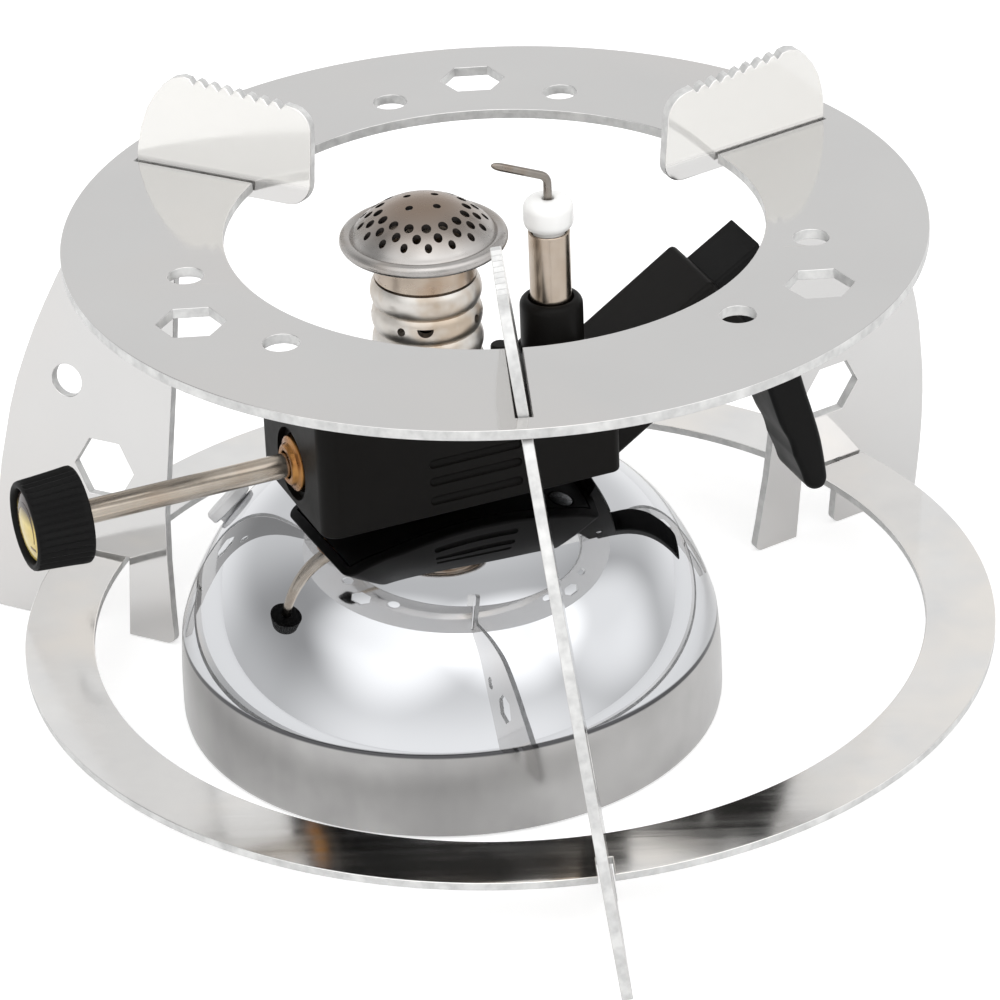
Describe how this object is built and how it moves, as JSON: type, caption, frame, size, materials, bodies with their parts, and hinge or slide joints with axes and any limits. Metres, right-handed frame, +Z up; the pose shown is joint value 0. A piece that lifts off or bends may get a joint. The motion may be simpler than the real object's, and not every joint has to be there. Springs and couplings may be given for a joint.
{
  "type": "butane bunsen burner",
  "caption": "Small refillable butane burner with a domed chrome tank, side control knob and trigger igniter, standing inside a flat-plate pan stand.",
  "frame": {"origin": "on the table, on the pan stand's vertical axis, which lies under the burner's bottom plate", "axes": "+Z up, +X to the right and +Y away from the viewer of the pictured front"},
  "size_m": [0.147, 0.1508, 0.088],
  "materials": {
    "stand_steel": "satin sheet with bright cut edges",
    "tank_chrome": "mirror",
    "bright_steel": "bright, lightly heat stained",
    "black_plastic": "moulded, semi-matt",
    "brass_parts": "turned",
    "seal_rubber": "matt",
    "white_ceramic": "unglazed white",
    "yellow_disc": "printed disc"
  },
  "bodies": {
    "burner": {"tank_shell": "tank_chrome", "tank_base": "bright_steel", "tank_neck": "bright_steel", "supply_tube": "black_plastic", "filler_valve": "bright_steel", "body": "black_plastic", "body_floor": "black_plastic", "screw_front": "bright_steel", "screw_rear": "bright_steel", "valve_block": "brass_parts", "gas_jet": "brass_parts", "gland_nut": "brass_parts", "gland_seal": "seal_rubber", "burner_tube": "bright_steel", "tube_collar": "bright_steel", "burner_cap": "bright_steel", "igniter_socket": "black_plastic", "igniter_tube": "bright_steel", "igniter_insulator": "white_ceramic", "electrode": "bright_steel", "igniter_lead": "seal_rubber", "piezo_unit": "black_plastic", "lever_pin": "bright_steel"},
    "gas_control": {"control_rod": "bright_steel", "knob": "black_plastic", "knob_disc": "yellow_disc"},
    "trigger": {"lever": "black_plastic"},
    "striker": {"piezo_plunger": "black_plastic"},
    "pan_stand": {"top_ring": "stand_steel", "base_ring": "stand_steel", "leg_front": "stand_steel", "leg_right": "stand_steel", "leg_left": "stand_steel"}
  },
  "joints": [
    {"name": "gas_valve", "type": "hinge", "parent": "burner", "child": "gas_control", "pos_m": [-0.0613, -0.02372, 0.0437], "axis": [-0.9245, -0.3811, 0], "range_deg": [0, 270]},
    {"name": "trigger_pull", "type": "hinge", "parent": "burner", "child": "trigger", "pos_m": [0.02577, 0.01217, 0.05254], "axis": [-0.3811, 0.9245, 0], "range_deg": [0, 18], "stiffness_Nm_per_rad": 0.6, "springref_deg": -5.73},
    {"name": "striker_push", "type": "slide", "parent": "burner", "child": "striker", "axis": [0.9245, 0.3811, 0], "range_m": [-0.00246, 0]},
    {"name": "stand_lift", "type": "slide", "parent": "burner", "child": "pan_stand", "axis": [0, 0, 1], "range_m": [0, 0.022]}
  ],
  "couplings": [
    {"joint": "striker_push", "follows": "trigger_pull", "m_per_rad": -0.0078}
  ]
}
